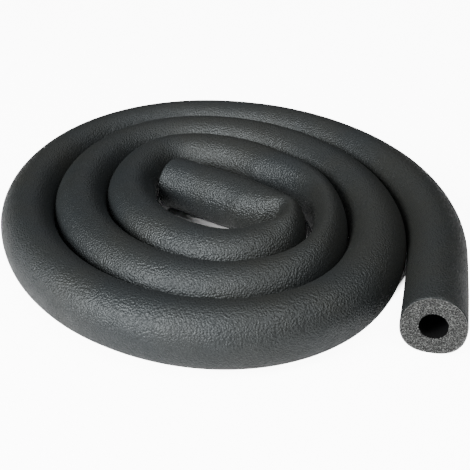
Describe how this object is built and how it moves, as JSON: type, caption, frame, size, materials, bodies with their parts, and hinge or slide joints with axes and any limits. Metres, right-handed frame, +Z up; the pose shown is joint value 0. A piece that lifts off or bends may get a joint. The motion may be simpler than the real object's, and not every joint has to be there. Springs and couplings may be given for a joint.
{
  "type": "pipe insulation lagging",
  "caption": "Length of charcoal foam pipe insulation tube with a bore for the pipe, wound flat into an open oval spiral that lies on the floor.",
  "frame": {"origin": "on the floor under the middle of the coil's box", "axes": "+Z up, out of the flat coil; the tail ends at -Y and +X, and the coil is longest along Y"},
  "size_m": [0.2906, 0.3122, 0.0372],
  "materials": {
    "foam": "satin moulded skin with a fine leathery grain, cut ends of open grey foam cells"
  },
  "bodies": {
    "root": {"foam_tube": "foam"}
  },
  "joints": []
}
